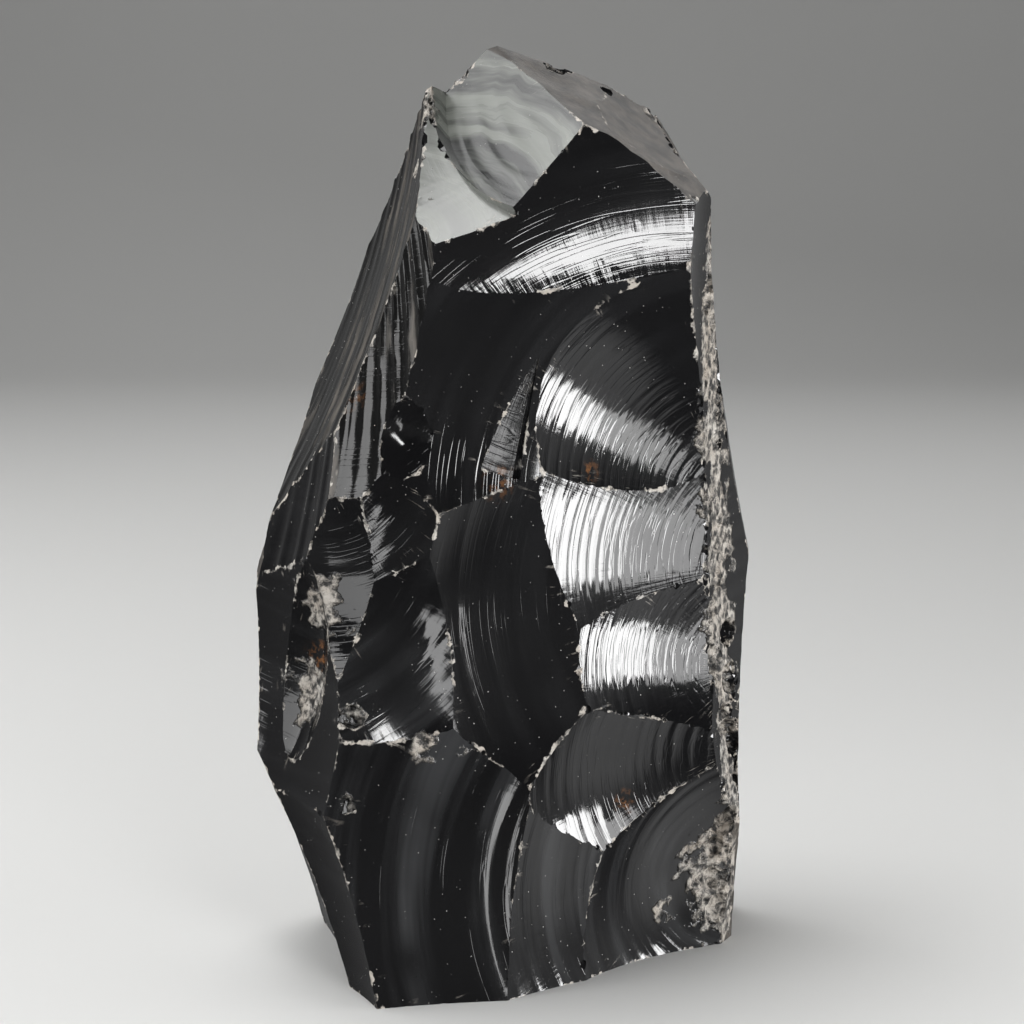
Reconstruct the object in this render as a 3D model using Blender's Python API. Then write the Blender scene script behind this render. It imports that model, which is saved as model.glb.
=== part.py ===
"""Obsidian chunk: a tall block of black volcanic glass that stands on its broken foot.

The stone is one piece. Each of its faces is a scar: the shallow hollow that a blow leaves when it drives
a flake off the glass. So the stone is modelled as it came to be, as a rough block from which flakes are cut
one by one. The glass breaks in rings that run out from the point of the blow, and each scar carries them.

The tables hold millimetres, with +X to the right, -Y to the front and +Z up. In the finished model the
origin is on the surface that the stone stands on, under the middle of the stone's box.
"""

import math
import random
from collections import namedtuple

import bmesh
import bpy
import numpy as np
from mathutils import Vector

METRES = 0.001

# Driving dimensions.
MIDDLE = (-1.5, 5.5, 0.0)  # middle of the stone's box, at its foot, in the tables' millimetres
HEIGHT = 233.0  # foot to peak
FLAKE_DEPTH = 60.0  # from a scar's highest point out to the lid of the solid that cuts it

# The rough block's corners. The flakes take a few millimetres or more off it nearly everywhere.
CORNERS = (
    (-46, -54, 0), (0, -50, 0), (40, -26, 0), (58, 16, 0), (60, 46, 0), (20, 60, 0), (-40, 54, 0),
    (-54, 20, 0), (-64, -36, 50), (-66, 20, 50), (62, 10, 60), (64, 50, 60), (0, -52, 60), (40, -30, 60),
    (-67, -30, 90), (-68, 20, 90), (63, 6, 100), (64, 50, 100), (0, -50, 110), (40, -30, 110),
    (-40, -44, 190), (-46, 10, 180), (54, -16, 190), (54, 40, 180), (20, -44, 210), (0, 50, 180),
    (-26, -10, 226), (-4, 4, HEIGHT), (13, 7, 227), (34, 24, 221), (38, 32, 214), (10, 34, 220),
)

# How a scar is meshed.
RING_STEP = 7.0  # between two rings, along the way the blow ran
RINGS_PER_WAVE = 4  # on a scar that has waves
SPOKE_STEP = 9.0  # between two spokes, at the scar's middle

# One blow. hit: where it fell. middle: a point on the scar. facing: turn of the scar's outward side from -Y
# towards +X, and its tilt up, in degrees. hollow: the radius of the scar's curve along and across the blow's
# way. spread: half the angle of the fan that the rings fill. reach: how far the rings go on past the middle
# and back towards the blow. wave: height and length of its rings' waves.
Scar = namedtuple("Scar", "name hit middle facing hollow spread reach wave")

SCARS = (
    # front, upper half
    Scar("upper_trough", (40, 0, 100), (12, -27.6, 178), (9, 11), (55, 280), 50, 45, (0.2, 9)),
    Scar("upper_sweep", (53, 8, 118), (-8.8, -32.3, 149), (16, 4), (400, 150), 80, 80, (0.25, 11)),
    Scar("fan", (53, 8, 118), (31, -8, 134), (30, 1), (110, 42), 90, 50, (0.3, 8)),
    Scar("horn", (7.5, -26.6, 166), (1.4, -29.2, 148), (25, -3), (120, 200), 9, 18, (0.0, 5)),
    Scar("bright_upper", (60, 14, 101), (33, -8.6, 102), (32, 7), (150, 92), 60, 38, (0.25, 7)),
    Scar("bright_lower", (58, 12, 74), (35, -7.8, 79), (36, 7), (120, 58), 60, 38, (0.25, 7)),
    Scar("centre", (60, 14, 101), (0.3, -28.7, 94), (22, 1), (200, 140), 60, 60, (0.1, 12)),
    Scar("left_hollow", (-60, -30, 120), (-27, -37.3, 86), (11, 3), (90, 70), 70, 60, (0.15, 11)),
    Scar("left_flat", (-50, -40, 140), (-31, -39.3, 122), (4, -6), (60, 60), 60, 40, (0.15, 9)),
    Scar("spoon", (-36, -36, 152), (-28, -35, 143), (10, 0), (14, 10), 80, 16, (0.0, 3)),
    # front, lower half
    Scar("under_bright", (54, 8, 56), (26, -15.2, 56), (34, -7), (100, 68), 70, 40, (0.3, 8)),
    Scar("foot_sweep", (60, -10, 25), (-22, -38, 38), (13, 1), (170, 200), 40, 60, (0.35, 12)),
    Scar("foot_ring", (55, 5, 24), (17, -21.8, 23), (33, 0), (110, 150), 60, 50, (0.3, 8)),
    Scar("foot_right", (58, 10, 20), (32, -5.6, 20), (42, -5), (75, 80), 90, 40, (0.3, 8)),
    # top
    Scar("crown_left", (18, -18, 231), (2.7, -12.8, 217.6), (-40, 28), (200, 150), 90, 20.5, (0.2, 9)),
    Scar("crown_step", (20.5, -7, 217.5), (-14.4, -28, 193), (-2, 50), (150, 120), 60, 9.5, (0.15, 6)),
    Scar("crown_right", (0, 60, 290), (31.9, 6.4, 214.1), (66, 49), (200, 200), 50, 70, (0.0, 6)),
    Scar("rim_right", (40, 80, 290), (41, 22, 208), (85, 32), (160, 300), 50, 80, (0.0, 6)),
    # left
    Scar("left_streaks", (-26, 20, 290), (-32.2, -24.5, 168.5), (-38, 13), (200, 60), 30, 60, (0.0, 6)),
    Scar("left_shoulder", (10, 30, 290), (-36, 0, 170), (-76, 20), (300, 300), 50, 70, (0.0, 6)),
    Scar("left_middle", (-10, 20, 260), (-50, -18, 130), (-62, 14), (300, 90), 40, 70, (0.0, 6)),
    Scar("left_lens", (-50, -30, 150), (-40, -35.5, 107), (-28, 3), (60, 40), 40, 40, (0.0, 6)),
    Scar("left_wall", (-50, -30, 220), (-52, -26, 85), (-55, 1), (160, 150), 40, 90, (0.0, 6)),
    Scar("notch", (-45, -34, 124), (-46.5, -28, 88), (-60, -2), (60, 12), 80, 36, (0.0, 6)),
    Scar("left_lower", (-64, 10, 200), (-63.5, 10, 75), (-88, 0), (400, 300), 50, 90, (0.0, 6)),
    Scar("left_side", (-60, 20, 240), (-54, 16, 132), (-93, 15), (400, 300), 50, 90, (0.0, 6)),
    Scar("left_foot", (-70, 0, 160), (-52, 0, 25), (-80, -20), (300, 300), 50, 70, (0.0, 6)),
    Scar("left_toe", (-70, -60, 120), (-44.2, -29, 20), (-60, -13), (200, 100), 50, 50, (0.0, 6)),
    # right
    Scar("right_upper", (40, 50, 290), (53, 15, 150), (88, 7), (500, 400), 40, 90, (0.0, 6)),
    Scar("right_lower", (62, 50, 200), (59.5, 25, 60), (88, -1), (500, 400), 50, 100, (0.0, 6)),
    Scar("right_edge", (50, 0, 290), (54, 11, 100), (64, 2), (900, 100), 40, 130, (0.0, 6)),
    # back
    Scar("back_crown", (0, -20, 330), (14, 22, 212), (172, 42), (120, 70), 50, 80, (0.0, 6)),
    Scar("back_left_high", (-70, 60, 190), (-19, 28, 166), (-158, 16), (120, 100), 70, 80, (0.25, 10)),
    Scar("back_right_high", (70, 60, 210), (28, 34, 160), (156, 12), (140, 90), 70, 80, (0.25, 10)),
    Scar("back_middle", (60, 70, 60), (2, 41, 112), (176, 5), (140, 110), 70, 80, (0.3, 12)),
    Scar("back_left_side", (-60, 60, 190), (-49, 28, 110), (-122, 5), (150, 120), 70, 80, (0.0, 6)),
    Scar("back_left_low", (-80, 60, -20), (-34, 38, 60), (-145, 2), (130, 110), 80, 80, (0.3, 12)),
    Scar("back_right_side", (70, 70, 190), (52, 40, 100), (128, 4), (200, 120), 70, 80, (0.0, 6)),
    Scar("back_right_low", (80, 70, -20), (34, 44, 50), (155, -1), (130, 100), 80, 80, (0.3, 12)),
    Scar("back_foot", (0, 90, -30), (-6, 47, 20), (182, -4), (150, 110), 70, 70, (0.0, 6)),
)

# Bites out of the rim and the edges: place and radius of each.
BITES = (
    ((27, 22, 222), 5), ((21, 19, 225), 3.5), ((10, 5, 229), 4), ((-24, -10, 204), 5), ((-6, -47, -2), 6),
    ((-47, -38, 8), 6), ((-36, -43, 74), 4), ((-22, -34, 190), 4), ((45, -19, 199), 4), ((-38, -44, 52), 3.5),
)

# The right edge, which blow after blow has crushed: its top and its foot, and the bites along it.
EDGE = ((48, 2, 186), (53.5, 9, 100), (53, 12, 6))
EDGE_BITES = 26
EDGE_BITE_SIZE = (3.0, 6.0)
EDGE_WIDTH = 6.0


def placed(place):
    """A place of the tables, in the finished model's metres."""
    return (Vector(place) - Vector(MIDDLE)) * METRES


def axes_of(scar):
    """The scar's directions, along the blow's way, across it and out of the stone, and the blow's distance."""
    turn, tilt = (math.radians(angle) for angle in scar.facing)
    out = Vector((math.sin(turn) * math.cos(tilt), -math.cos(turn) * math.cos(tilt), math.sin(tilt)))
    way = Vector(scar.middle) - Vector(scar.hit)
    way -= out * way.dot(out)
    return way.normalized(), out.cross(way.normalized()), out, way.length


def scar_points(scar, ring_step, spoke_step):
    """The scar's surface, as rings of points: an array of (rings, spokes, 3)."""
    along, across, out, distance = axes_of(scar)
    height, length = scar.wave
    if height:
        ring_step = length / RINGS_PER_WAVE
    first = max(0.4, distance - scar.reach)
    rings = max(4, round((distance + scar.reach - first) / ring_step))
    radius = (first + ring_step * np.arange(rings + 1))[:, None]
    half = math.radians(scar.spread)
    spokes = max(6, round(2 * half * max(distance, 25.0) / spoke_step))
    angle = np.linspace(-half, half, spokes + 1)[None, :]
    forward = radius * np.cos(angle) - distance
    sideways = radius * np.sin(angle)
    rise = forward**2 / (2 * scar.hollow[0]) + sideways**2 / (2 * scar.hollow[1])
    rise = rise + height * np.cos((radius - first) * 2 * math.pi / length)
    grid = np.array(scar.middle, float) + np.zeros(forward.shape + (3,))
    for amount, axis in ((forward, along), (sideways, across), (rise, out)):
        grid = grid + amount[..., None] * np.array(axis)
    return grid


def flake(scar, ring_step=RING_STEP, spoke_step=SPOKE_STEP):
    """The flake that the blow drove off, as a closed solid from the scar outwards."""
    grid = scar_points(scar, ring_step, spoke_step)
    rings, spokes = grid.shape[:2]
    out = np.array(axes_of(scar)[2])
    rise = (grid - np.array(scar.middle, float)) @ out
    top = grid + out * (rise.max() + FLAKE_DEPTH - rise)[..., None]
    count = rings * spokes

    def at(ring, spoke, lid=0):
        return lid * count + ring * spokes + spoke

    faces = []
    for i in range(rings - 1):
        for j in range(spokes - 1):
            quad = (at(i, j), at(i + 1, j), at(i + 1, j + 1), at(i, j + 1))
            faces.append(quad)
            faces.append(tuple(index + count for index in reversed(quad)))
    for i in range(rings - 1):
        faces.append((at(i, 0), at(i, 0, 1), at(i + 1, 0, 1), at(i + 1, 0)))
        last = spokes - 1
        faces.append((at(i, last), at(i + 1, last), at(i + 1, last, 1), at(i, last, 1)))
    for j in range(spokes - 1):
        last = rings - 1
        faces.append((at(0, j), at(0, j + 1), at(0, j + 1, 1), at(0, j, 1)))
        faces.append((at(last, j), at(last, j, 1), at(last, j + 1, 1), at(last, j + 1)))
    points = (np.concatenate([grid.reshape(-1, 3), top.reshape(-1, 3)]) - np.array(MIDDLE)) * METRES
    mesh = bpy.data.meshes.new(scar.name)
    mesh.from_pydata(points.tolist(), [], faces)
    shell = bmesh.new()
    shell.from_mesh(mesh)
    bmesh.ops.recalc_face_normals(shell, faces=shell.faces)
    shell.to_mesh(mesh)
    shell.free()
    cutter = bpy.data.objects.new(scar.name, mesh)
    cutter.hide_render = True
    cutter.display_type = "WIRE"
    bpy.context.scene.collection.objects.link(cutter)
    return cutter


def rough_block():
    """The block that the flakes are cut from, with its foot on the surface that the stone stands on."""
    shell = bmesh.new()
    for corner in CORNERS:
        shell.verts.new(placed(corner))
    hull = bmesh.ops.convex_hull(shell, input=shell.verts)
    bmesh.ops.delete(shell, geom=hull["geom_interior"], context="VERTS")
    mesh = bpy.data.meshes.new("obsidian_chunk")
    shell.to_mesh(mesh)
    shell.free()
    block = bpy.data.objects.new("obsidian_chunk", mesh)
    bpy.context.scene.collection.objects.link(block)
    return block


def bite(place, radius):
    """A small ball, to cut a chip out of an edge."""
    shell = bmesh.new()
    bmesh.ops.create_icosphere(shell, subdivisions=1, radius=radius * METRES)
    bmesh.ops.translate(shell, vec=placed(place), verts=shell.verts)
    mesh = bpy.data.meshes.new("bite")
    shell.to_mesh(mesh)
    shell.free()
    cutter = bpy.data.objects.new("bite", mesh)
    cutter.hide_render = True
    cutter.display_type = "WIRE"
    bpy.context.scene.collection.objects.link(cutter)
    return cutter


def edge_bites():
    """The bites along the crushed edge, as (place, radius)."""
    chance = random.Random(5)
    top, middle, foot = (Vector(place) for place in EDGE)
    for index in range(EDGE_BITES):
        way = 2 * (index + 0.5 * chance.random()) / EDGE_BITES
        place = top.lerp(middle, way) if way < 1 else middle.lerp(foot, way - 1)
        radius = chance.uniform(*EDGE_BITE_SIZE)
        outwards = Vector((0.88, -0.47, 0.0)) * radius * chance.uniform(0.45, 0.75)
        sideways = Vector((0.47, 0.88, 0.0)) * EDGE_WIDTH * chance.uniform(-1, 1)
        yield place + outwards + sideways, radius


def obsidian():
    material = bpy.data.materials.new("obsidian")
    material.use_nodes = True
    glass = material.node_tree.nodes["Principled BSDF"]
    glass.inputs["Base Color"].default_value = (0.006, 0.006, 0.007, 1.0)
    glass.inputs["Roughness"].default_value = 0.06
    glass.inputs["Metallic"].default_value = 0.0
    return material


def cut(stone, cutter):
    step = stone.modifiers.new(cutter.name, "BOOLEAN")
    step.operation = "DIFFERENCE"
    step.object = cutter


def main():
    for old in list(bpy.data.objects):
        bpy.data.objects.remove(old)
    stone = rough_block()
    stone.data.materials.append(obsidian())
    for scar in SCARS:
        cut(stone, flake(scar))
    for place, radius in (*BITES, *edge_bites()):
        cut(stone, bite(place, radius))


if __name__ == "__main__":
    main()
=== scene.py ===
"""The looks of the obsidian chunk: the stone, the floor it stands on, soft studio light and the camera.

The stone is cut as its CAD solid is, from the same rough block by the same blows, but each scar is meshed
finely enough to carry its ripples, and small chips are broken out of the ridges and out of the crushed edge.
The tables and the mesh code hold millimetres, with +X to the right, -Y to the front and +Z up.
"""

import math
import random
from collections import namedtuple

import bmesh
import bpy
import numpy as np
from mathutils import Euler, Matrix, Vector
from mathutils.kdtree import KDTree


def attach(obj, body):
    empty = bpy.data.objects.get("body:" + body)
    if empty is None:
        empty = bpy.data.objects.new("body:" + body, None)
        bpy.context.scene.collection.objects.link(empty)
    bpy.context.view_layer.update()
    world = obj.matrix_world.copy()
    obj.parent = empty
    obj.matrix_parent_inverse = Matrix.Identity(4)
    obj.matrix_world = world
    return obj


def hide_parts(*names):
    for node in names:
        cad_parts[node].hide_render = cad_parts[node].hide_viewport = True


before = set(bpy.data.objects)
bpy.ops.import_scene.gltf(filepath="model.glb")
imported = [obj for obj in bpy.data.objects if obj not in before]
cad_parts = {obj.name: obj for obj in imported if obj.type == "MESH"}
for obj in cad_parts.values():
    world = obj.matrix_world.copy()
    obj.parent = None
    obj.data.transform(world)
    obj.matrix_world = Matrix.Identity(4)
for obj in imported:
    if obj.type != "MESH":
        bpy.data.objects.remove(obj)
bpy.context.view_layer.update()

METRES = 0.001

# ---- the stone's form, which is the CAD solid's too ----

MIDDLE = (-1.5, 5.5, 0.0)  # middle of the stone's box, at its foot, in the tables' millimetres
HEIGHT = 233.0  # foot to peak
FLAKE_DEPTH = 60.0  # from a scar's highest point out to the lid of the solid that cuts it

# The rough block's corners. The flakes take a few millimetres or more off it nearly everywhere.
CORNERS = (
    (-46, -54, 0), (0, -50, 0), (40, -26, 0), (58, 16, 0), (60, 46, 0), (20, 60, 0), (-40, 54, 0),
    (-54, 20, 0), (-64, -36, 50), (-66, 20, 50), (62, 10, 60), (64, 50, 60), (0, -52, 60), (40, -30, 60),
    (-67, -30, 90), (-68, 20, 90), (63, 6, 100), (64, 50, 100), (0, -50, 110), (40, -30, 110),
    (-40, -44, 190), (-46, 10, 180), (54, -16, 190), (54, 40, 180), (20, -44, 210), (0, 50, 180),
    (-26, -10, 226), (-4, 4, HEIGHT), (13, 7, 227), (34, 24, 221), (38, 32, 214), (10, 34, 220),
)

# One blow. hit: where it fell. middle: a point on the scar. facing: turn of the scar's outward side from -Y
# towards +X, and its tilt up, in degrees. hollow: the radius of the scar's curve along and across the blow's
# way. spread: half the angle of the fan that the rings fill. reach: how far the rings go on past the middle
# and back towards the blow.
Scar = namedtuple("Scar", "name hit middle facing hollow spread reach")

SCARS = (
    # front, upper half
    Scar("upper_trough", (40, 0, 100), (12, -27.6, 178), (9, 11), (55, 280), 50, 45),
    Scar("upper_sweep", (53, 8, 118), (-8.8, -32.3, 149), (16, 4), (400, 150), 80, 80),
    Scar("fan", (53, 8, 118), (31, -8, 134), (30, 1), (110, 42), 90, 50),
    Scar("horn", (7.5, -26.6, 166), (1.4, -29.2, 148), (25, -3), (120, 200), 9, 18),
    Scar("bright_upper", (60, 14, 101), (33, -8.6, 102), (32, 7), (150, 92), 60, 38),
    Scar("bright_lower", (58, 12, 74), (35, -7.8, 79), (36, 7), (120, 58), 60, 38),
    Scar("centre", (60, 14, 101), (0.3, -28.7, 94), (22, 1), (200, 140), 60, 60),
    Scar("left_hollow", (-60, -30, 120), (-27, -37.3, 86), (11, 3), (90, 70), 70, 60),
    Scar("left_flat", (-50, -40, 140), (-31, -39.3, 122), (4, -6), (60, 60), 60, 40),
    Scar("spoon", (-36, -36, 152), (-28, -35, 143), (10, 0), (14, 10), 80, 16),
    # front, lower half
    Scar("under_bright", (54, 8, 56), (26, -15.2, 56), (34, -7), (100, 68), 70, 40),
    Scar("foot_sweep", (60, -10, 25), (-22, -38, 38), (13, 1), (170, 200), 40, 60),
    Scar("foot_ring", (55, 5, 24), (17, -21.8, 23), (33, 0), (110, 150), 60, 50),
    Scar("foot_right", (58, 10, 20), (32, -5.6, 20), (42, -5), (75, 80), 90, 40),
    # top
    Scar("crown_left", (18, -18, 231), (2.7, -12.8, 217.6), (-40, 28), (200, 150), 90, 20.5),
    Scar("crown_step", (20.5, -7, 217.5), (-14.4, -28, 193), (-2, 50), (150, 120), 60, 9.5),
    Scar("crown_right", (0, 60, 290), (31.9, 6.4, 214.1), (66, 49), (200, 200), 50, 70),
    Scar("rim_right", (40, 80, 290), (41, 22, 208), (85, 32), (160, 300), 50, 80),
    # left
    Scar("left_streaks", (-26, 20, 290), (-32.2, -24.5, 168.5), (-38, 13), (200, 60), 30, 60),
    Scar("left_shoulder", (10, 30, 290), (-36, 0, 170), (-76, 20), (300, 300), 50, 70),
    Scar("left_middle", (-10, 20, 260), (-50, -18, 130), (-62, 14), (300, 90), 40, 70),
    Scar("left_lens", (-50, -30, 150), (-40, -35.5, 107), (-28, 3), (60, 40), 40, 40),
    Scar("left_wall", (-50, -30, 220), (-52, -26, 85), (-55, 1), (160, 150), 40, 90),
    Scar("notch", (-45, -34, 124), (-46.5, -28, 88), (-60, -2), (60, 12), 80, 36),
    Scar("left_lower", (-64, 10, 200), (-63.5, 10, 75), (-88, 0), (400, 300), 50, 90),
    Scar("left_side", (-60, 20, 240), (-54, 16, 132), (-93, 15), (400, 300), 50, 90),
    Scar("left_foot", (-70, 0, 160), (-52, 0, 25), (-80, -20), (300, 300), 50, 70),
    Scar("left_toe", (-70, -60, 120), (-44.2, -29, 20), (-60, -13), (200, 100), 50, 50),
    # right
    Scar("right_upper", (40, 50, 290), (53, 15, 150), (88, 7), (500, 400), 40, 90),
    Scar("right_lower", (62, 50, 200), (59.5, 25, 60), (88, -1), (500, 400), 50, 100),
    Scar("right_edge", (50, 0, 290), (54, 11, 100), (64, 2), (900, 100), 40, 130),
    # back
    Scar("back_crown", (0, -20, 330), (14, 22, 212), (172, 42), (120, 70), 50, 80),
    Scar("back_left_high", (-70, 60, 190), (-19, 28, 166), (-158, 16), (120, 100), 70, 80),
    Scar("back_right_high", (70, 60, 210), (28, 34, 160), (156, 12), (140, 90), 70, 80),
    Scar("back_middle", (60, 70, 60), (2, 41, 112), (176, 5), (140, 110), 70, 80),
    Scar("back_left_side", (-60, 60, 190), (-49, 28, 110), (-122, 5), (150, 120), 70, 80),
    Scar("back_left_low", (-80, 60, -20), (-34, 38, 60), (-145, 2), (130, 110), 80, 80),
    Scar("back_right_side", (70, 70, 190), (52, 40, 100), (128, 4), (200, 120), 70, 80),
    Scar("back_right_low", (80, 70, -20), (34, 44, 50), (155, -1), (130, 100), 80, 80),
    Scar("back_foot", (0, 90, -30), (-6, 47, 20), (182, -4), (150, 110), 70, 70),
)

# Bites out of the rim and the edges: place and radius of each.
BITES = (
    ((27, 22, 222), 5), ((21, 19, 225), 3.5), ((10, 5, 229), 4), ((-24, -10, 204), 5), ((-6, -47, -2), 6),
    ((-47, -38, 8), 6), ((-36, -43, 74), 4), ((-22, -34, 190), 4), ((45, -19, 199), 4), ((-38, -44, 52), 3.5),
)

# The right edge, which blow after blow has crushed: its top, its middle and its foot, and the bites along it.
EDGE = ((48, 2, 186), (53.5, 9, 100), (53, 12, 6))
EDGE_BITES = 26
EDGE_BITE_SIZE = (3.0, 6.0)
EDGE_BITE_OUT = (0.45, 0.75)  # how far a bite's middle is off the edge, in radii
EDGE_WIDTH = 6.0  # how far to either side of the edge the bites go
EDGE_OUTWARDS = (0.88, -0.47, 0.0)
EDGE_SIDEWAYS = (0.47, 0.88, 0.0)

# ---- what is finer here than in the CAD solid ----

MESH_SCALE = 1.0
FIRST_RING = 0.4  # the ring nearest to the blow is no nearer than this
SPOKE_PLACE = 25.0  # the spokes' step is measured at the scar's middle, or this far out if that is farther
LOW = np.array([-75.0, -60.0, -5.0])  # the box round the stone outside which no scar needs a mesh
HIGH = np.array([72.0, 70.0, 240.0])
BOX_MARGIN = 6.0
FARTHEST_COVER = 90.0  # how far out from a scar there may still be glass for it to take away

# How a scar looks close up. ring, spoke: the mesh's steps, mm. fine: strength of the fine ripples. hackle:
# strength of the fine lines that run away from the blow. kind: which material the scar is given.
Look = namedtuple("Look", "ring spoke fine hackle kind")
FRONT = Look(0.8, 1.7, 1.0, 0.6, "glass")
RINGED = Look(0.5, 1.1, 1.8, 0.8, "glass")
SIDE = Look(1.5, 2.4, 0.6, 0.4, "glass")
FRONT_TURNS = (-70, 80)  # a scar that faces between these turns is at the front
LOOKS = {
    "upper_trough": Look(0.8, 1.2, 0.8, 1.3, "glass"),
    "upper_sweep": Look(0.8, 1.7, 0.35, 0.4, "glass"),
    "centre": Look(0.8, 1.7, 0.4, 0.6, "glass"),
    "left_hollow": Look(0.8, 1.7, 0.4, 0.6, "glass"),
    "foot_sweep": Look(0.8, 1.7, 0.45, 0.4, "glass"),
    "foot_ring": Look(0.8, 1.7, 0.6, 0.6, "glass"),
    "foot_right": Look(0.8, 1.7, 0.35, 0.4, "glass"),
    "fan": RINGED,
    "bright_upper": RINGED,
    "bright_lower": RINGED,
    "crown_left": Look(0.9, 1.5, 0.3, 0.2, "banded"),
    "crown_step": Look(0.9, 1.0, 0.3, 0.5, "banded"),
    "crown_right": Look(1.0, 1.5, 0.4, 0.2, "skin"),
    "rim_right": Look(1.0, 1.5, 0.4, 0.2, "skin"),
    "left_shoulder": Look(2.4, 0.9, 0.4, 1.0, "streaked"),
    "left_streaks": Look(2.4, 0.7, 0.4, 1.0, "streaked"),
    "left_middle": Look(2.4, 0.9, 0.4, 1.0, "glass"),
}

# A scar's ripples: height and length, mm, and how narrow the crests are.
RIPPLES = {
    "upper_trough": (0.012, 3.2, 1.0), "upper_sweep": (0.05, 8.0, 1.5), "fan": (0.08, 3.8, 4.0),
    "bright_upper": (0.07, 3.2, 5.0), "bright_lower": (0.08, 3.8, 4.0), "centre": (0.04, 8.0, 1.5),
    "left_hollow": (0.05, 6.0, 2.0), "left_flat": (0.05, 5.0, 1.5), "spoon": (0.05, 3.0, 1.0),
    "horn": (0.03, 4.0, 1.0), "under_bright": (0.11, 4.6, 3.0), "foot_sweep": (0.15, 9.0, 2.0),
    "foot_ring": (0.12, 6.0, 3.0), "foot_right": (0.06, 4.6, 3.0), "crown_left": (0.06, 6.0, 1.0),
    "crown_step": (0.05, 4.0, 1.0), "left_streaks": (0.06, 9.0, 1.0), "left_shoulder": (0.10, 12.0, 1.0),
}
COMMON_RIPPLE = (0.07, 8.0, 1.0)
RIPPLE_WAVES = ((1.0, 1.0), (0.55, 0.61), (0.3, 0.37))  # each wave's share of the height, and of the length

# Ribs, the coarser ridges that run away from the blow: height and spacing, mm.
RIBS = {
    "left_streaks": (0.55, 4.2), "left_shoulder": (0.45, 6.0), "left_middle": (0.45, 7.0),
    "left_lower": (0.4, 9.0), "left_side": (0.4, 9.0), "crown_step": (0.06, 2.4),
    "upper_trough": (0.006, 2.2), "foot_sweep": (0.02, 5.0),
}
RIB_WAVES = ((1.0, 1.0), (0.6, 0.57), (0.35, 0.33))  # each wave's share of the height, and of the spacing
RIB_CRESTS = 1.5  # how narrow their crests are

# How much painted sheen lies on a scar: soft lighter rings in its colour that stand in for a soft reflection.
RING_SHEEN = {
    "crown_step": 1.0, "foot_sweep": 1.0, "foot_ring": 0.7, "foot_right": 0.5, "left_hollow": 0.6,
    "left_flat": 0.5, "upper_sweep": 0.25,
}
SIDE_RING_SHEEN = 0.6
COMMON_RING_SHEEN = 0.15

# The weathered skin of the rough block, where no flake has taken it off.
BLOCK_EDGE = 5.0  # its edges are split until they are shorter than this, or the rounds are done
BLOCK_ROUNDS = 6
SKIN_DEPTH = 1.2  # of its hollows
SKIN_LUMPS = 16.0  # their size
SKIN_START = 4.0  # height above the flat foot over which they set in

# The bites are balls in the CAD solid and angular lumps here, which need to be larger to take as much away.
EDGE_BITE_SCALE = 1.15
BITE_SCALE = 1.45
BITE_OUT = 0.6  # how far those that aren't on the crushed edge are moved outwards, in radii

# Chips: which ridges lose them, how likely a ridge's mesh edge is to lose one, and their radii.
CHIP_SHARPNESS = 18  # degrees
CRUSHED_REACH = 10.0  # from the middle of the crushed edge
CROWN_BACK = (3, 200)  # the crown's rim is farther back and higher than these
CROWN_LEFT = (-14, 205)  # or farther left and higher than these
EDGE_ODDS = 0.6
CROWN_ODDS = 0.35
COMMON_ODDS = 0.03
EDGE_CHIP = (0.8, 3.0)
CROWN_CHIP = (1.2, 4.2)
COMMON_CHIP = (0.6, 1.6)  # the smallest, and what the largest has more
CHIP_OUT = (0.35, 0.8)  # how far a chip's middle is off the ridge, in radii
CHIP_GAP = 1.05  # chips whose middles are farther apart than this times both radii don't touch
CHIP_SQUASH = (0.6, 1.0)

# Places that are crushed white besides the right edge, and places stained rusty: (place, radius), mm.
CRUSHED = (
    ((-19, -27, 206), 6.0), ((-47, -30, 98), 8.0), ((-50, -26, 76), 7.0), ((-21, -37, 64), 3.5),
    ((-12, -34, 62), 3.0), ((52, 8, 20), 10.0), ((42, -4, 12), 6.0), ((-24, -9, 222), 7.0),
    ((-14, -4, 229), 5.0), ((44, 12, 205), 5.0), ((35, 17, 213), 3.5),
)
STAINS = (
    ((-4, -31, 129), 3.6), ((-34, -25, 186), 5.0), ((29, -14, 44), 2.6), ((55, -2, 41), 3.0),
    ((19, -17, 129), 2.2), ((-20, -24, 204), 2.5), ((-40, -30, 150), 3.5), ((-48, -28, 84), 4.0),
)
BITE_CRUSH = 0.45  # how crushed the glass is in a bite, from 0 to 1

# Worn white ridges. They are worn where the noise, from 0 to 1, is over the unworn share.
WORN_SHARPNESS = 12  # degrees
WORN_LUMPS = 13.0
LEFT_SIDE = -38  # the stone's left starts here
LEFT_UNWORN = 0.46
COMMON_UNWORN = 0.66

# The crack across the front above the foot, which is worn all along.
CRACK_LEFT = -48
CRACK_RIGHT = -18
CRACK_BACK = -30
CRACK_HEIGHT = 70
CRACK_MARGIN = 6

SHARP_BETWEEN = 5  # degrees: an edge between two scars is drawn sharp from here on
SHARP_WITHIN = 35  # and one inside a scar from here on

# ---- the stone's mesh ----


def look_of(scar):
    if scar.name in LOOKS:
        return LOOKS[scar.name]
    return FRONT if FRONT_TURNS[0] < scar.facing[0] < FRONT_TURNS[1] else SIDE


def axes_of(scar):
    """The scar's directions, along the blow's way, across it and outwards, and the blow's distance."""
    turn, tilt = (math.radians(angle) for angle in scar.facing)
    out = Vector((math.sin(turn) * math.cos(tilt), -math.cos(turn) * math.cos(tilt), math.sin(tilt)))
    way = Vector(scar.middle) - Vector(scar.hit)
    way -= out * way.dot(out)
    return way.normalized(), out.cross(way.normalized()), out, way.length


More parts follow.
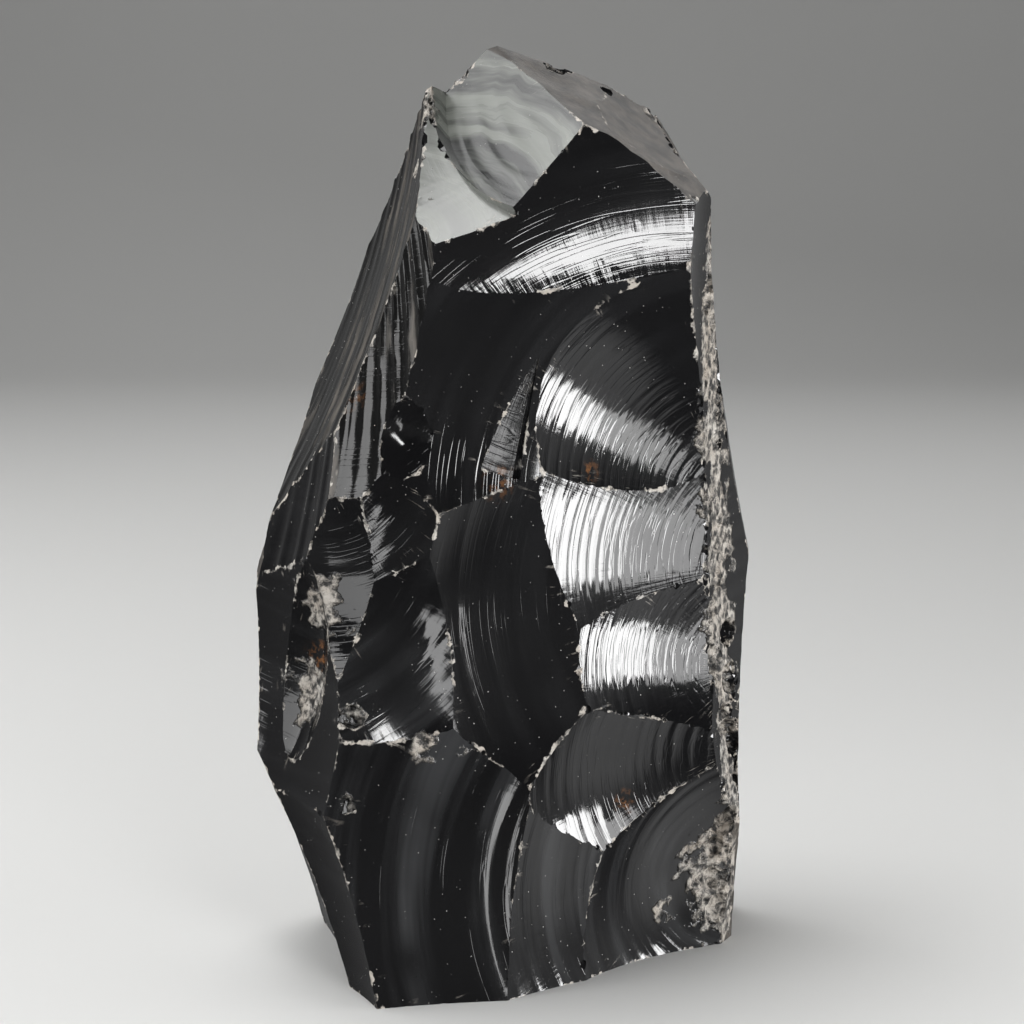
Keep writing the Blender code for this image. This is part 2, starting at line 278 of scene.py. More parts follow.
def ripples(scar, number, radius, angle):
    """Height of a scar's ripples: rings round the blow, uneven in strength and spacing."""
    height, length, narrow = RIPPLES.get(scar.name, COMMON_RIPPLE)
    chance = np.random.default_rng(number)
    total = 0.0
    for share, scale in RIPPLE_WAVES:
        bend = 0.8 * np.sin(angle * chance.uniform(1.5, 4) + chance.uniform(0, 6))
        drift = radius / (length * 2.3) + angle * chance.uniform(1, 4) + chance.uniform(0, 6)
        swell = 0.55 + 0.45 * np.sin(drift)
        turn = 2 * math.pi * radius / (length * scale) + bend + chance.uniform(0, 6)
        turn = turn + 1.2 * np.sin(radius / (length * 3.1) + chance.uniform(0, 6))
        total = total + share * scale * swell * np.exp(narrow * (np.cos(turn) - 1))
    return 2 * height * total


def ribs(scar, number, radius, angle, distance):
    """Height of the ribs that run away from the blow, uneven in strength and spacing."""
    if scar.name not in RIBS:
        return 0.0
    height, spacing = RIBS[scar.name]
    chance = np.random.default_rng(number + 50)
    total = 0.0
    for share, scale in RIB_WAVES:
        bend = chance.uniform(0.5, 1.4) * np.sin(radius / chance.uniform(14, 30) + chance.uniform(0, 6))
        swell = 0.5 + 0.5 * np.sin(radius / 17 + angle * chance.uniform(4, 12) + chance.uniform(0, 6))
        turn = 2 * math.pi * angle * distance / (spacing * scale) + bend + chance.uniform(0, 6)
        total = total + share * scale * swell * np.exp(RIB_CRESTS * (np.cos(turn) - 1))
    return height * total


def scar_points(scar, number):
    """A grid of points on the scar: rings round the place of the blow by spokes away from it."""
    look = look_of(scar)
    along, across, out, distance = axes_of(scar)
    first = max(FIRST_RING, distance - scar.reach)
    last = distance + scar.reach
    rings = max(4, round((last - first) / (look.ring * MESH_SCALE)))
    radius = np.linspace(first, last, rings + 1)[:, None]
    half = math.radians(scar.spread)
    spokes = max(6, round(2 * half * max(distance, SPOKE_PLACE) / (look.spoke * MESH_SCALE)))
    angle = np.linspace(-half, half, spokes + 1)[None, :]
    forward = radius * np.cos(angle) - distance
    sideways = radius * np.sin(angle)
    rise = forward**2 / (2 * scar.hollow[0]) + sideways**2 / (2 * scar.hollow[1])
    rise = rise + ripples(scar, number, radius, angle) + ribs(scar, number, radius, angle, distance)
    grid = np.array(scar.middle, float) + np.zeros(forward.shape + (3,))
    for amount, axis in ((forward, along), (sideways, across), (rise, out)):
        grid = grid + amount[..., None] * np.array(axis)
    return trimmed(grid, np.array(out))


def trimmed(grid, out):
    """The part of the grid that has any of the stone over it."""
    over = grid[:, :, None, :] + np.linspace(0, FARTHEST_COVER, 10)[:, None] * out
    inside = ((over > LOW - BOX_MARGIN) & (over < HIGH + BOX_MARGIN)).all(-1).any(-1)
    rings = np.flatnonzero(inside.any(1))
    spokes = np.flatnonzero(inside.any(0))
    kept_rings = slice(max(rings[0] - 1, 0), rings[-1] + 2)
    kept_spokes = slice(max(spokes[0] - 1, 0), spokes[-1] + 2)
    return grid[kept_rings, kept_spokes]


def flake(scar, number):
    """The flake that the blow drove off, as a closed solid: the scar's grid, walls and a flat lid."""
    grid = scar_points(scar, number)
    rings, spokes = grid.shape[:2]
    out = np.array(axes_of(scar)[2])
    index = np.arange(rings * spokes).reshape(rings, spokes)
    rim = np.concatenate([index[:, 0], index[-1, 1:], index[-2::-1, -1], index[0, -2:0:-1]])
    points = grid.reshape(-1, 3)
    rise = (points - np.array(scar.middle, float)) @ out
    lid = points[rim] + out * (rise.max() + FLAKE_DEPTH - rise[rim])[:, None]
    lid_index = np.arange(len(rim)) + len(points)
    quads = np.stack([index[:-1, :-1], index[:-1, 1:], index[1:, 1:], index[1:, :-1]], -1).reshape(-1, 4)
    walls = np.stack([rim, np.roll(rim, -1), np.roll(lid_index, -1), lid_index], -1)
    faces = quads.tolist() + walls.tolist() + [lid_index.tolist()]
    return solid(scar.name, np.concatenate([points, lid]), faces)


def solid(name, points, faces):
    """An object of the faces. Its material has its name, so that a cut face can tell what cut it."""
    mesh = bpy.data.meshes.new(name)
    mesh.from_pydata(((np.asarray(points) - np.array(MIDDLE)) * METRES).tolist(), [], faces)
    mesh.materials.append(bpy.data.materials.get(name) or bpy.data.materials.new(name))
    made = bpy.data.objects.new(name, mesh)
    bpy.context.scene.collection.objects.link(made)
    return made


def rough_block():
    """The block as it was before the blows, with a weathered, slightly uneven skin."""
    shell = bmesh.new()
    for corner in CORNERS:
        shell.verts.new(corner)
    hull = bmesh.ops.convex_hull(shell, input=shell.verts)
    bmesh.ops.delete(shell, geom=hull["geom_interior"], context="VERTS")
    for _ in range(BLOCK_ROUNDS):
        long = [edge for edge in shell.edges if edge.calc_length() > BLOCK_EDGE]
        bmesh.ops.subdivide_edges(shell, edges=long, cuts=1)
        bmesh.ops.triangulate(shell, faces=shell.faces)
    points, faces = points_and_faces(shell)
    worn_off = SKIN_DEPTH * lumpy(points, SKIN_LUMPS, 21) * np.clip(points[:, 2] / SKIN_START, 0, 1)
    outwards = points[:, :2] / np.linalg.norm(points[:, :2], axis=1)[:, None].clip(1.0)
    points[:, :2] -= outwards * worn_off[:, None]
    return solid("block", points, faces)


def points_and_faces(shell):
    """The points and the faces of a bmesh, which is then freed."""
    shell.verts.index_update()
    points = np.array([vert.co[:] for vert in shell.verts])
    faces = [[vert.index for vert in face.verts] for face in shell.faces]
    shell.free()
    return points, faces


def edge_bites():
    """The bites along the crushed edge, as (place, radius)."""
    chance = random.Random(5)
    top, middle, foot = (Vector(place) for place in EDGE)
    for index in range(EDGE_BITES):
        way = 2 * (index + 0.5 * chance.random()) / EDGE_BITES
        place = top.lerp(middle, way) if way < 1 else middle.lerp(foot, way - 1)
        radius = chance.uniform(*EDGE_BITE_SIZE)
        outwards = Vector(EDGE_OUTWARDS) * radius * chance.uniform(*EDGE_BITE_OUT)
        sideways = Vector(EDGE_SIDEWAYS) * EDGE_WIDTH * chance.uniform(-1, 1)
        yield place + outwards + sideways, radius


def all_bites():
    """The bites as (place, radius), sized and placed for angular lumps."""
    bites = [(Vector(place), radius * EDGE_BITE_SCALE) for place, radius in edge_bites()]
    for place, radius in BITES:
        outwards = (Vector(place) - Vector((0.0, 0.0, place[2]))).normalized()
        bites.append((Vector(place) + outwards * radius * BITE_OUT, radius * BITE_SCALE))
    return bites


def groups_apart(chips):
    """The chips sorted into groups in which no two touch, so that each group is one clean solid."""
    groups = []
    for chip in chips:
        for group in groups:
            if all((chip[0] - other[0]).length > CHIP_GAP * (chip[1] + other[1]) for other in group):
                group.append(chip)
                break
        else:
            groups.append([chip])
    return groups


def chip_tools(name, chips, chance):
    """Solids of angular lumps, squashed icosahedra turned at random, one lump for each chip."""
    shell = bmesh.new()
    bmesh.ops.create_icosphere(shell, subdivisions=1, radius=1.0)
    points, faces = points_and_faces(shell)
    tools = []
    for group in groups_apart(chips):
        all_points, all_faces = [], []
        for place, radius in group:
            spin = Euler([chance.uniform(0, 6.28) for _ in range(3)]).to_matrix()
            squash = Vector([chance.uniform(*CHIP_SQUASH) for _ in range(3)])
            shape = (points * np.array(squash)) @ np.array(spin)
            all_faces.append(np.array(faces) + len(points) * len(all_points))
            all_points.append(shape * radius + np.array(place))
        tools.append(solid(name, np.concatenate(all_points), np.concatenate(all_faces).tolist()))
    return tools


def subtract(stone, tools):
    """Cuts the tools out of the stone, one after another, and returns the mesh that is left."""
    for tool in tools:
        step = stone.modifiers.new(tool.name, "BOOLEAN")
        step.operation = "DIFFERENCE"
        step.solver = "MANIFOLD"
        step.material_mode = "TRANSFER"
        step.object = tool
    bpy.context.view_layer.update()
    graph = bpy.context.evaluated_depsgraph_get()
    mesh = bpy.data.meshes.new_from_object(stone.evaluated_get(graph), depsgraph=graph)
    for made in (stone, *tools):
        bpy.data.objects.remove(made)
    return mesh


def main_cut():
    """The rough block with the flakes and the bites cut out of it."""
    stone = rough_block()
    tools = [flake(scar, number) for number, scar in enumerate(SCARS)]
    return subtract(stone, tools + chip_tools("bite", all_bites(), random.Random(11)))


def whole_numbers(items, key):
    """The key's value for each of a mesh's polygons or corners."""
    values = np.zeros(len(items), int)
    items.foreach_get(key, values)
    return values


def origin_of_faces(mesh):
    """The name of the solid that each face was cut by."""
    names = np.array([material.name if material else "block" for material in mesh.materials])
    return names[whole_numbers(mesh.polygons, "material_index")]


def ridges(mesh, names, least):
    """Middle, both ends and way out of each edge where two scars meet in a ridge that is sharp enough."""
    shell = bmesh.new()
    shell.from_mesh(mesh)
    found = []
    for edge in shell.edges:
        if len(edge.link_faces) != 2:
            continue
        one, other = edge.link_faces
        if names[one.index] == names[other.index]:
            continue
        if edge.calc_face_angle_signed(0.0) > math.radians(least):
            start, end = (vert.co / METRES + Vector(MIDDLE) for vert in edge.verts)
            found.append(((start + end) / 2, start, end, (one.normal + other.normal).normalized()))
    shell.free()
    return found


def edge_line():
    """Points down the middle of the crushed edge, a millimetre or two apart."""
    top, middle, foot = (Vector(place) for place in EDGE)
    return [top.lerp(middle, i / 60) for i in range(60)] + [middle.lerp(foot, i / 60) for i in range(61)]


def distances(points, targets):
    """How far each point is from the nearest target."""
    tree = KDTree(len(targets))
    for index, place in enumerate(targets):
        tree.insert(place, index)
    tree.balance()
    return np.array([tree.find(point)[2] for point in points])


def on_crown(place):
    """Whether a place is on the crown's rim, at its back or at its left."""
    at_back = place.y > CROWN_BACK[0] and place.z > CROWN_BACK[1]
    at_left = place.x < CROWN_LEFT[0] and place.z > CROWN_LEFT[1]
    return at_back or at_left


def small_chips(mesh):
    """Chips along the ridges, more on the crown's rim and most along the crushed edge, as (place, radius)."""
    chance = random.Random(23)
    found = ridges(mesh, origin_of_faces(mesh), CHIP_SHARPNESS)
    to_edge = distances([ridge[0] for ridge in found], edge_line())
    chips = []
    for (place, _, _, out), away in zip(found, to_edge):
        near = away < CRUSHED_REACH
        crown = on_crown(place)
        odds = EDGE_ODDS if near else CROWN_ODDS if crown else COMMON_ODDS
        if chance.random() > odds:
            continue
        if near:
            radius = chance.uniform(*EDGE_CHIP)
        else:
            radius = COMMON_CHIP[0] + COMMON_CHIP[1] * chance.random() ** 2
        if crown:
            radius = chance.uniform(*CROWN_CHIP)
        chips.append((place + out * radius * chance.uniform(*CHIP_OUT), radius))
    return chips


def stone_mesh():
    """The stone's mesh with everything cut out of it; each face's material tells what cut it."""
    mesh = main_cut()
    chips = small_chips(mesh)
    stone = bpy.data.objects.new("stone_cut", mesh)
    bpy.context.scene.collection.objects.link(stone)
    tools = chip_tools("chip", chips, random.Random(31))
    print("scene: chips", len(chips), "in", len(tools), "groups")
    return subtract(stone, tools)


def finish_shading(mesh, names):
    """Smooth inside each scar, sharp where two scars meet, flat in the chips."""
    shell = bmesh.new()
    shell.from_mesh(mesh)
    shell.faces.ensure_lookup_table()
    for face in shell.faces:
        face.smooth = names[face.index] not in ("bite", "chip")
    for edge in shell.edges:
        if len(edge.link_faces) == 2:
            one, other = edge.link_faces
            least = SHARP_BETWEEN if names[one.index] != names[other.index] else SHARP_WITHIN
            edge.smooth = edge.calc_face_angle(0.0) < math.radians(least)
    shell.to_mesh(mesh)
    shell.free()


# ---- what the mesh tells the materials ----

ROUND = 40.0  # the angle round the blow counts as so many mm, wherever it is
SEED_STEP = 7.3  # between the numbers of two scars
PLAIN_SEED = 99.0
PLAIN_DETAIL = (0.3, 0.0, 0.0)  # fine ripples, hackles and painted sheen where no scar is


def lumpy(points, size, seed):
    """Smooth noise from 0 to 1 at points in mm, with lumps of that size: three octaves of five waves each."""
    total = np.zeros(len(points))
    chance = np.random.default_rng(seed)
    for octave in range(3):
        for _ in range(5):
            way = chance.normal(size=3)
            way *= 2 * math.pi / (size / 1.9**octave) / np.linalg.norm(way)
            total += np.sin(points @ way + chance.uniform(0, 6.28)) / 1.6**octave
    return 0.5 + 0.5 * np.tanh(total / 2.4)


def vertex_points(mesh):
    """The mesh's vertices in the tables' millimetres."""
    points = np.zeros(len(mesh.vertices) * 3)
    mesh.vertices.foreach_get("co", points)
    return points.reshape(-1, 3) / METRES + np.array(MIDDLE)


def store(mesh, title, values):
    """Keeps a vector for each corner of the mesh, or a number for each vertex, under the title."""
    if values.ndim == 2:
        layer = mesh.attributes.new(title, "FLOAT_VECTOR", "CORNER")
        layer.data.foreach_set("vector", values.astype(np.float32).ravel())
    else:
        layer = mesh.attributes.new(title, "FLOAT", "POINT")
        layer.data.foreach_set("value", values.astype(np.float32))


def flow_on(scar, number, points):
    """For each point on the scar: mm from the blow, mm round it, and the scar's own number."""
    along, across, _, distance = axes_of(scar)
    away = points - np.array(scar.middle, float)
    forward = away @ np.array(along) + distance
    sideways = away @ np.array(across)
    around = ROUND * np.arctan2(sideways, forward)
    return np.stack([np.hypot(forward, sideways), around, np.full(len(points), number * SEED_STEP)], 1)


def add_flow(mesh, names):
    """Stores each corner's flow, as flow_on has it, and its strengths of fine ripples, hackles and painted
    sheen.
    """
    points = vertex_points(mesh)[whole_numbers(mesh.loops, "vertex_index")]
    corner_name = np.repeat(names, whole_numbers(mesh.polygons, "loop_total"))
    flow = np.stack([points[:, 0] + points[:, 1], points[:, 2], np.full(len(points), PLAIN_SEED)], 1)
    detail = np.tile(PLAIN_DETAIL, (len(points), 1))
    for number, scar in enumerate(SCARS):
        mine = corner_name == scar.name
        if mine.any():
            look = look_of(scar)
            flow[mine] = flow_on(scar, number, points[mine])
            film = RING_SHEEN.get(scar.name, SIDE_RING_SHEEN if look is SIDE else COMMON_RING_SHEEN)
            detail[mine] = (look.fine, look.hackle, film)
    store(mesh, "flow", flow)
    store(mesh, "detail", detail)


def worn_white(middles):
    """Which of the ridges with these middles are worn: patches of them, and the crack above the foot."""
    x, y, z = middles.T
    crack = (x > CRACK_LEFT) & (x < CRACK_RIGHT) & (y < CRACK_BACK) & (abs(z - CRACK_HEIGHT) < CRACK_MARGIN)
    unworn = np.where(x < LEFT_SIDE, LEFT_UNWORN, COMMON_UNWORN)
    return (lumpy(middles, WORN_LUMPS, 8) > unworn) | crack


def crushed_at(mesh, names, points):
    """How crushed each vertex is: along the right edge, at the CRUSHED places and in the bites."""
    width = 2.6 + 6.5 * lumpy(points, 14.0, 3)
    crushed = np.clip(1.6 - distances(points, edge_line()) / width, 0, 1)
    ragged = 0.5 + lumpy(points, 9.0, 5)
    for place, radius in CRUSHED:
        away = np.linalg.norm(points - np.array(place), axis=1)
        crushed = np.maximum(crushed, np.clip(1.5 - away / (radius * ragged), 0, 1))
    for name, polygon in zip(names, mesh.polygons):
        if name == "bite":
            for vertex in polygon.vertices:
                crushed[vertex] = max(crushed[vertex], BITE_CRUSH)
    return crushed


def stained_at(points):
    """How rusty each vertex is."""
    stain = np.zeros(len(points))
    for place, radius in STAINS:
        away = np.linalg.norm(points - np.array(place), axis=1)
        stain = np.maximum(stain, np.clip(1.5 - away / radius, 0, 1))
    return stain


def add_wear(mesh, names):
    """Stores each vertex's wear and rim (mm to the nearest worn ridge, and to any ridge), crush and rust."""
    points = vertex_points(mesh)
    found = ridges(mesh, names, WORN_SHARPNESS)
    middles = np.array([ridge[0] for ridge in found])
    worn = worn_white(middles)
    targets = [place for ridge, keep in zip(found, worn) if keep for place in ridge[:3]]
    store(mesh, "wear", distances(points, targets))
    store(mesh, "rim", distances(points, middles))
    store(mesh, "crushed", crushed_at(mesh, names, points))
    store(mesh, "stain", stained_at(points))


# ---- materials ----

SWIRL_EYE = (-24.0, -36.0, 186.0)  # the crown's bands curl round this, mm: flow bands painted pale grey-green as a reflection of the light overhead
SWIRL_SEED = 4.4
GLASS = (0.0045, 0.0045, 0.005, 1)
# The lighter colour of the painted sheen rings, which stand in for a soft reflection.
GLASS_RING_SHEEN = (0.04, 0.041, 0.043, 1)
BAND_DARK = (0.012, 0.013, 0.013, 1)
# Flow bands painted pale grey-green: a painted reflection of the overhead light on the crown.
BAND_SHEEN = (0.20, 0.21, 0.19, 1)
# The crown step's painted sheen, which lightens it where it catches more light.
BAND_RING_SHEEN = (0.30, 0.31, 0.29, 1)
SKIN_DARK = (0.012, 0.011, 0.010, 1)
SKIN_BROWN = (0.10, 0.086, 0.072, 1)
SKIN_ROUGHNESS = 0.42
STREAK_DARK = (0.006, 0.006, 0.006, 1)
# The lighter streak colour paints the reflection streaks of the left faces.
STREAK_SHEEN = (0.10, 0.088, 0.075, 1)
POWDER_WHITE = (0.62, 0.61, 0.58, 1)
POWDER_TAN = (0.36, 0.29, 0.22, 1)
POWDER_GAPS = (0.015, 0.0145, 0.014, 1)
POWDER_ROUGHNESS = 0.55
RUST = (0.20, 0.085, 0.03, 1)
DUST = (0.45, 0.44, 0.42, 1)
GLASS_IOR = 1.5
FLOOR_PALE = (0.62, 0.62, 0.61, 1)
FLOOR_ROUGHNESS = 0.8


class Tree:
    """Short calls for building a tree of nodes."""

    def __init__(self, tree):
        self.nodes = tree.nodes
        self.links = tree.links

    def feed(self, socket, value):
        if isinstance(value, bpy.types.NodeSocket):
            self.links.new(value, socket)
        else:
            socket.default_value = value

    def node(self, kind, inputs, settings=None, output=0):
        made = self.nodes.new("ShaderNode" + kind)
        for name, value in (settings or {}).items():
            setattr(made, name, value)
        for name, value in inputs.items():
            self.feed(made.inputs[name], value)
        return made.outputs[output]

    def math(self, operation, *values, clamp=False):
        return self.node("Math", dict(enumerate(values)), {"operation": operation, "use_clamp": clamp})

    def plus(self, one, other):
        return self.math("ADD", one, other)

    def minus(self, one, other):
        return self.math("SUBTRACT", one, other)

    def times(self, one, other):
        return self.math("MULTIPLY", one, other)

    def larger(self, one, other, clamp=False):
        return self.math("MAXIMUM", one, other, clamp=clamp)

    def vector(self, x, y, z):
        return self.node("CombineXYZ", {0: x, 1: y, 2: z})

    def split(self, vector):
        """The vector's x, y and z."""
        return tuple(self.node("SeparateXYZ", {0: vector}).node.outputs)

    def noise(self, vector, scale, detail=2.0, rough=0.5, distort=0.0):
        inputs = {"Vector": vector, "Scale": scale, "Detail": detail, "Roughness": rough}
        return self.node("TexNoise", {**inputs, "Distortion": distort})

    def to_point(self, vector, scale):
        """How far it is to the nearest of many scattered points."""
        inputs = {"Vector": vector, "Scale": scale, "Randomness": 1.0}
        return self.node("TexVoronoi", inputs, {"feature": "F1"})

    def step(self, value, low, high, to_low=0.0, to_high=1.0):
        """A smooth step: to_low where the value is low, to_high where it is high."""
        inputs = {"Value": value, "From Min": low, "From Max": high, "To Min": to_low, "To Max": to_high}
        return self.node("MapRange", inputs, {"interpolation_type": "SMOOTHSTEP"})

    def mixed(self, kind, first_socket, output, values):
        made = self.nodes.new("ShaderNodeMix")
        made.data_type = kind
        for socket, value in zip((0, first_socket, first_socket + 1), values):
            self.feed(made.inputs[socket], value)
        return made.outputs[output]

    def mix(self, amount, first, second):
        """The first colour where the amount is 0, the second where it is 1."""
        return self.mixed("RGBA", 6, 2, (amount, first, second))

    def blend(self, amount, first, second):
        """The first number where the amount is 0, the second where it is 1."""
        return self.mixed("FLOAT", 2, 0, (amount, first, second))

    def attribute(self, name, output):
        made = self.nodes.new("ShaderNodeAttribute")
        made.attribute_name = name
        return made.outputs[output]


def new_material(name):
    material = bpy.data.materials.new(name)
    material.use_nodes = True
    t = Tree(material.node_tree)
    return material, t, t.nodes["Principled BSDF"].inputs


# What the stone's materials read at a point. mm: its place. away, around, seed: the flow. fine, hackle, film:
# the detail, the last being how much painted sheen there is. wear, rim, crushed, stain: as add_wear stores
# them.
Surface = namedtuple("Surface", "mm away around seed fine hackle film wear rim crushed stain")


def surface_of(t):
    place = t.node("TexCoord", {}, output=3)
    mm = t.node("VectorMath", {0: place, 1: (1 / METRES,) * 3}, {"operation": "MULTIPLY"})
    flow = t.split(t.attribute("flow", "Vector"))
    detail = t.split(t.attribute("detail", "Vector"))
    return Surface(mm, *flow, *detail, *(t.attribute(name, "Fac") for name in Surface._fields[7:]))


def flow_noise(t, s, per_away, per_around, detail, rough):
    """Noise drawn out along the rings or away from the blow: how fast it changes, per mm, either way."""
    place = t.vector(t.times(s.away, per_away), t.times(s.around, per_around), s.seed)
    return t.noise(place, 1.0, detail, rough)


def fine_rings(t, s):
    """Height of the finest rings round the blow, with thin lines among them, mm."""
    level = flow_noise(t, s, 0.42, 0.03, 2.0, 0.5)
    off_line = t.math("ABSOLUTE", t.minus(level, 0.5))
    rings = t.plus(flow_noise(t, s, 0.9, 0.06, 3.0, 0.55), t.step(off_line, 0.035, 0.0, 0.0, 0.5))
    patch = t.step(t.noise(s.mm, 0.045), 0.35, 0.7, 0.35, 1.0)
    return t.times(t.times(rings, s.fine), t.times(patch, 0.05))


def hackles(t, s):
    """Height of the fine lines that run away from the blow, most of them near a ridge, mm."""
    lines = flow_noise(t, s, 0.05, 0.9, 3.0, 0.6)
    where = t.larger(t.step(t.noise(s.mm, 0.08), 0.5, 0.72), t.step(s.rim, 6.0, 0.5, 0.0, 0.7))
    where = t.larger(where, t.minus(s.hackle, 1.0))
    return t.times(t.times(lines, s.hackle), t.times(where, 0.06))


def hairs(t, s):
    """Where thin white scratches run away from the blow, beside a ridge."""
    lines = t.step(flow_noise(t, s, 0.16, 1.5, 2.0, 0.5), 0.6, 0.68)
    zone = t.times(t.step(s.rim, 4.5, 0.3), t.step(t.noise(s.mm, 0.11), 0.5, 0.66))
    return t.times(t.times(lines, zone), 0.55)


def glass_look(t, s):
    """Colour and roughness of bare glass with a painted sheen in soft lighter rings, which stands in for a
    soft reflection.
    """
    rings = t.step(flow_noise(t, s, 0.11, 0.012, 3.0, 0.6), 0.42, 0.66)
    film = t.times(rings, t.step(t.noise(s.mm, 0.03), 0.3, 0.62))
    rough = t.step(t.noise(s.mm, 0.05, 3.0), 0.3, 0.75, 0.035, 0.11)
    return t.mix(t.times(film, s.film), GLASS, GLASS_RING_SHEEN), rough


def banded_sheen_look(t, s):
    """Colour and roughness of the crown: flow bands that curl round the eye, their pale grey-green a painted
    reflection of the light overhead, with a lighter painted sheen where the step catches more light.
    """
    from_eye = t.node("VectorMath", {0: s.mm, 1: SWIRL_EYE}, {"operation": "DISTANCE"}, output=1)
    drift = t.noise(s.mm, 0.05, 2.0, 0.5, 0.8)
    turn = t.plus(t.times(from_eye, 0.2), t.times(drift, 1.1))
    sideways = t.times(t.split(s.mm)[0], 0.025)
    swirl = t.noise(t.vector(turn, sideways, SWIRL_SEED), 1.0, 4.0, 0.6)
    # The pale bands are partly flow banding and partly a painted reflection of the overhead light.
    sheen_bands = t.step(swirl, 0.32, 0.66)
    colour = t.mix(sheen_bands, BAND_DARK, BAND_SHEEN)
    # On the crown step, a lighter painted sheen where it catches more light.
    colour = t.mix(t.step(s.film, 0.5, 1.0, 0.0, 0.5), colour, BAND_RING_SHEEN)
    return colour, t.blend(sheen_bands, 0.16, 0.32)


def skin_look(t, s):
    """Colour and roughness of the weathered skin."""
    mottled = t.step(t.noise(s.mm, 0.16, 5.0, 0.7), 0.3, 0.7)
    return t.mix(mottled, SKIN_DARK, SKIN_BROWN), SKIN_ROUGHNESS


def streaked_look(t, s):
    """Colour and roughness of glass with lighter brown streaks that run away from the blow: painted
    reflection streaks.
    """
    streaks = flow_noise(t, s, 0.03, 0.5, 4.0, 0.6)
    colour = t.mix(t.step(streaks, 0.5, 0.68), STREAK_DARK, STREAK_SHEEN)
    return colour, t.step(streaks, 0.45, 0.65, 0.1, 0.45)


def crumbled(t, s, broken):
    """Colour of crushed glass: white and tan powder with dark gaps between its crumbs."""
    powder = t.mix(t.noise(s.mm, 0.12, 3.0), POWDER_WHITE, POWDER_TAN)
    gaps = t.plus(t.times(t.noise(s.mm, 0.5, 6.0, 0.78, 0.6), 0.8), t.times(broken, 0.2))
    return t.mix(t.step(gaps, 0.42, 0.6), POWDER_GAPS, powder)


KINDS = {"glass": glass_look, "banded": banded_sheen_look, "skin": skin_look, "streaked": streaked_look}


def stone_material(kind):
    """Black volcanic glass with fine rings and hackles, worn white ridges, crushed places, dust and rust."""
    material, t, shader = new_material("obsidian_" + kind)
    s = surface_of(t)
    colour, rough = KINDS[kind](t, s)

    # Masks, from 0 to 1.
    ragged = t.noise(s.mm, 0.5, 3.0, 0.6)
    ridge = t.step(t.minus(s.wear, t.step(ragged, 0.42, 0.72, 0.0, 0.9)), 0.18, -0.12)
    uneven = t.times(t.minus(t.noise(s.mm, 0.35, 3.0), 0.5), 1.4)
    crush = t.step(t.plus(s.crushed, uneven), 0.42, 0.75)
    white = t.larger(t.larger(ridge, crush), hairs(t, s), clamp=True)
    rust = t.times(s.stain, t.step(ragged, 0.45, 0.68, 0.0, 0.8))
    specks = t.step(t.to_point(s.mm, 0.5), 0.09, 0.05)
    dust = t.times(specks, t.step(t.noise(s.mm, 0.06), 0.38, 0.58, 0.0, 0.8))

    # Heights, mm.
    wobble = t.noise(s.mm, 0.5).node.outputs["Color"]
    bent = t.node("VectorMath", {0: s.mm, 1: wobble}, {"operation": "ADD"})
    broken = t.to_point(bent, 0.42)
    rubble = t.plus(t.times(broken, 0.9), t.times(t.noise(s.mm, 1.3, 5.0, 0.7), 0.5))
    heights = t.plus(t.plus(fine_rings(t, s), hackles(t, s)), t.times(crush, rubble))
    if kind == "skin":
        heights = t.plus(heights, t.times(t.noise(s.mm, 1.2, 4.0, 0.65), 0.12))

    colour = t.mix(rust, colour, RUST)
    colour = t.mix(white, colour, crumbled(t, s, broken))
    colour = t.mix(dust, colour, DUST)
    powdery = t.larger(t.times(white, 0.85), dust, clamp=True)
    t.feed(shader["Base Color"], colour)
    t.feed(shader["Roughness"], t.blend(powdery, rough, POWDER_ROUGHNESS))
    t.feed(shader["IOR"], GLASS_IOR)
    t.feed(shader["Normal"], t.node("Bump", {"Height": heights, "Distance": METRES, "Strength": 1.0}))
    return material


def build_stone():
    mesh = stone_mesh()
    names = origin_of_faces(mesh)
    add_flow(mesh, names)
    add_wear(mesh, names)
    finish_shading(mesh, names)
    mesh.materials.clear()
    kinds = list(KINDS)
    for kind in kinds:
        mesh.materials.append(stone_material(kind))
    kind_of = {scar.name: kinds.index(look_of(scar).kind) for scar in SCARS}
    kind_of["block"] = kinds.index("skin")
    slots = np.array([kind_of.get(name, 0) for name in names], np.int32)
    mesh.polygons.foreach_set("material_index", slots)
    mesh.name = "obsidian"
    stone = bpy.data.objects.new("obsidian", mesh)
    bpy.context.scene.collection.objects.link(stone)
    print("scene: triangles", sum(len(face.vertices) - 2 for face in mesh.polygons))
    for material in list(bpy.data.materials):
        if not material.users:
            bpy.data.materials.remove(material)
    return stone


# ---- studio, in metres ----

STONE_HEART = (0.0, 0.0, 0.11)
CAMERA_PLACE = (0.0015, -0.8055, 0.25)
CAMERA_DOWN = 9.5  # degrees below the level
LENS = 112.5  # mm, on a sensor as wide as SENSOR
SENSOR = 36.0
NEAREST_SEEN = 0.01
FLOOR_FRONT = -1.6
FLOOR_BACK = 1.2  # the floor starts to curve up here
FLOOR_BEND = 0.6  # radius
FLOOR_SIDE = 2.6
BACKDROP_TOP = 2.2
TABLE_WAY = (0.82, -0.22, -0.53)  # the pale table that the right-hand scars mirror lies this way
TABLE_GREY = 0.9
BAND_GREY = 0.4


